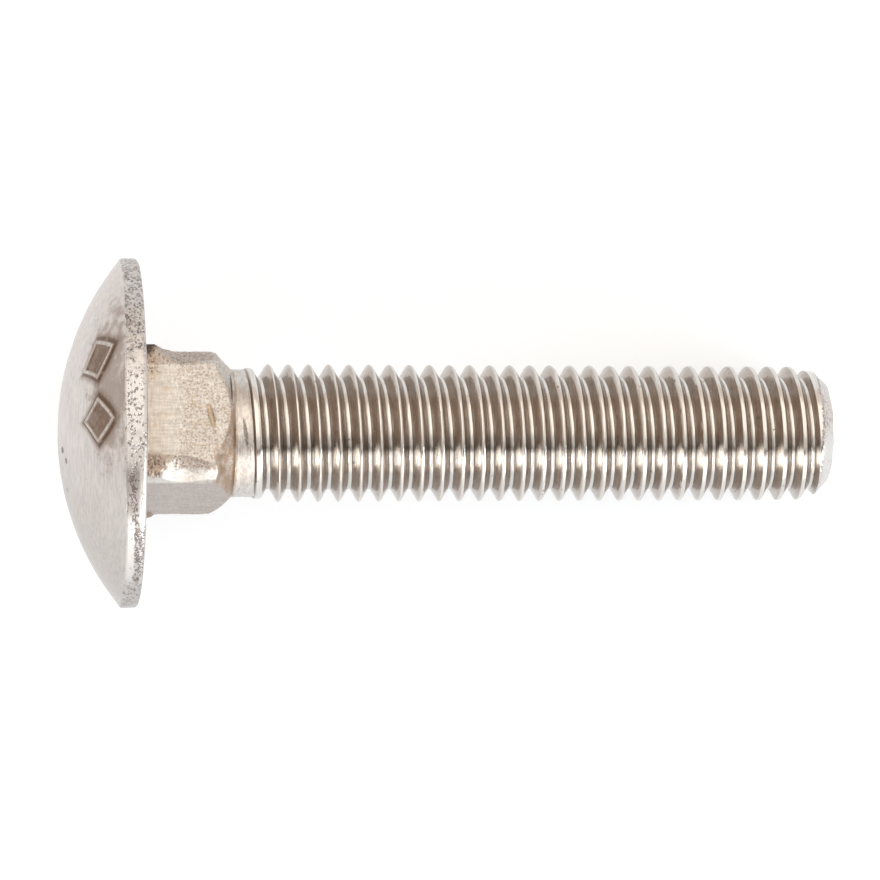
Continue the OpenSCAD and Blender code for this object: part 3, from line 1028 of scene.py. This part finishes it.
def table_finish(colour):
    """Pale table: matt, and with a little light of its own that the camera and the steel see."""
    material = bpy.data.materials.new("table")
    material.use_nodes = True
    tree = material.node_tree
    shader = tree.nodes["Principled BSDF"]
    shader.inputs["Base Color"].default_value = (*colour, 1)
    shader.inputs["Roughness"].default_value = 0.9
    shader.inputs["Specular IOR Level"].default_value = 0.0
    path = tree.nodes.new("ShaderNodeLightPath")
    seen = calc(tree, "ADD", out(path, "Is Camera Ray"), out(path, "Is Glossy Ray"))
    seen = calc(tree, "ADD", seen, out(path, "Is Transmission Ray"), clamp=True)
    glow = tree.nodes.new("ShaderNodeEmission")
    plug(tree, seen * TABLE_GLOW, glow.inputs["Strength"])
    both = tree.nodes.new("ShaderNodeAddShader")
    tree.links.new(shader.outputs[0], both.inputs[0])
    tree.links.new(glow.outputs[0], both.inputs[1])
    tree.links.new(both.outputs[0], tree.nodes["Material Output"].inputs["Surface"])
    return material


def surroundings(world):
    """Soft warm-grey room, pale overhead, dimmer low on the side of the long softbox, and dark above it."""
    world.use_nodes = True
    tree = world.node_tree
    background = tree.nodes["Background"]
    towards = out(tree.nodes.new("ShaderNodeTexCoord"), "Generated")
    towards = add_node(tree, "ShaderNodeSeparateXYZ", {0: towards})
    dim = soft_share(out(towards, "Y") * -1.0, 0.08, 0.32)
    overhead = soft_share(out(towards, "Z"), 0.55, 0.85)
    lean = calc(tree, "ARCTAN2", out(towards, "Y") * -1.0, out(towards, "Z")) * math.degrees(1)
    screen = soft_share(lean, 26.0, 30.0) * (1 - soft_share(lean, 35.0, 39.0)) * 0.7
    colour = out(towards, "Y")
    room = [(dim, (1.05, 0.92, 0.81), (0.45, 0.38, 0.34)), (overhead, None, (0.92, 0.86, 0.80))]
    for share_of, first, second in [*room, (screen, None, (0.12, 0.10, 0.09))]:
        mixed = add_node(tree, "ShaderNodeMix", {0: share_of}, data_type="RGBA")
        plug(tree, (*first, 1) if first else colour, mixed.inputs[6])
        plug(tree, (*second, 1), mixed.inputs[7])
        colour = out(mixed, 2)
    plug(tree, colour, background.inputs["Color"])
    background.inputs["Strength"].default_value = 1.0


def add_light(name, place, target, size, level, colour):
    """A soft rectangular light that looks as bright as its level, where 1 is white."""
    data = bpy.data.lights.new(name, "AREA")
    data.shape = "RECTANGLE"
    data.size, data.size_y = size
    data.energy = level * WHITE_WATTS * data.size * data.size_y
    data.color = colour
    light = placed(name, data)
    light.location = place
    facing = Vector(target) - Vector(place)
    light.rotation_euler = facing.to_track_quat("-Z", "Y").to_euler()


# Operators


class BOLT_OT_bolt(bpy.types.Operator):
    """Builds the bolt in place of the CAD node"""

    bl_idname = "bolt.build"
    bl_label = "Build the bolt"

    def execute(self, context):
        settings = context.scene.carriage_bolt
        sizes = settings.thread
        values = {
            "Start": THREAD_START * MM,
            "Length": sizes.length,
            "Pitch": sizes.pitch,
            "First crest": FIRST_CREST * MM,
            "Shank radius": sizes.shank_radius,
            "Bar radius": sizes.bar_radius,
            "Crest radius": sizes.crest_radius,
            "Root radius": sizes.root_radius,
            "Bevel": sizes.bevel,
            "Nick depth": NICK_DEPTH * MM,
            "Steps round": sizes.steps,
            "Rows per pitch": sizes.rows,
            "Seed": sizes.seed,
            "Steel": thread_steel(settings.colours, sizes.pitch / MM),
        }
        thread = grown("thread", thread_tree(), values)
        head = head_mesh(settings.head)
        neck = neck_mesh(settings.neck)
        head.materials.append(head_steel(settings.colours))
        neck.materials.append(neck_steel(settings.colours))
        mesh = joined([head, neck, thread], PIECE)
        mesh.transform(LYING)
        mesh.set_sharp_from_angle(angle=math.radians(32))
        for polygon in mesh.polygons:
            polygon.use_smooth = True
        piece = placed(PIECE, mesh)
        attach(piece, "root")
        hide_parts(NODE)
        return {"FINISHED"}


class BOLT_OT_stage(bpy.types.Operator):
    """Sets the table, the soft lights and the camera"""

    bl_idname = "bolt.stage"
    bl_label = "Set the stage"

    def execute(self, context):
        studio = context.scene.carriage_bolt.studio
        scene = context.scene
        half = studio.table / 2
        mesh = bpy.data.meshes.new("table")
        corners = [(-half, -half, 0), (half, -half, 0), (half, half, 0), (-half, half, 0)]
        mesh.from_pydata(corners, [], [(0, 1, 2, 3)])
        table = placed("table", mesh)
        mesh.materials.append(table_finish(studio.table_colour))
        world = bpy.data.worlds.new("studio")
        scene.world = world
        surroundings(world)
        for softbox in SOFTBOXES:
            add_light(*softbox)
        camera_data = bpy.data.cameras.new("camera")
        camera_data.lens = studio.lens
        camera_data.sensor_width = 36
        camera_data.clip_start = 0.01
        camera_data.clip_end = 20
        camera = placed("camera", camera_data)
        camera.location = CAMERA_PLACE
        camera.rotation_euler = (0, CAMERA_YAW, 0)
        scene.camera = camera
        scene.view_settings.view_transform = "Standard"
        return {"FINISHED"}


class BOLT_PT_panel(bpy.types.Panel):
    """Sizes, colours and steps of the bolt"""

    bl_idname = "BOLT_PT_panel"
    bl_label = "Carriage bolt"
    bl_space_type = "VIEW_3D"
    bl_region_type = "UI"
    bl_category = "Bolt"

    def draw(self, context):
        settings = context.scene.carriage_bolt
        layout = self.layout
        for group in (settings.head, settings.neck, settings.thread, settings.colours, settings.studio):
            box = layout.box()
            for name in group.__annotations__:
                box.prop(group, name)
        layout.operator(BOLT_OT_bolt.bl_idname)
        layout.operator(BOLT_OT_stage.bl_idname)


CLASSES = (HeadSizes, NeckSizes, ThreadSizes, SteelColours, StudioSizes, BoltSettings)
CLASSES += (BOLT_OT_bolt, BOLT_OT_stage, BOLT_PT_panel)


def register():
    for item in CLASSES:
        bpy.utils.register_class(item)
    bpy.types.Scene.carriage_bolt = PointerProperty(type=BoltSettings)


def unregister():
    del bpy.types.Scene.carriage_bolt
    for item in reversed(CLASSES):
        bpy.utils.unregister_class(item)


def main():
    register()
    bpy.ops.bolt.build()
    bpy.ops.bolt.stage()
    bpy.context.view_layer.update()


if __name__ == "__main__":
    main()
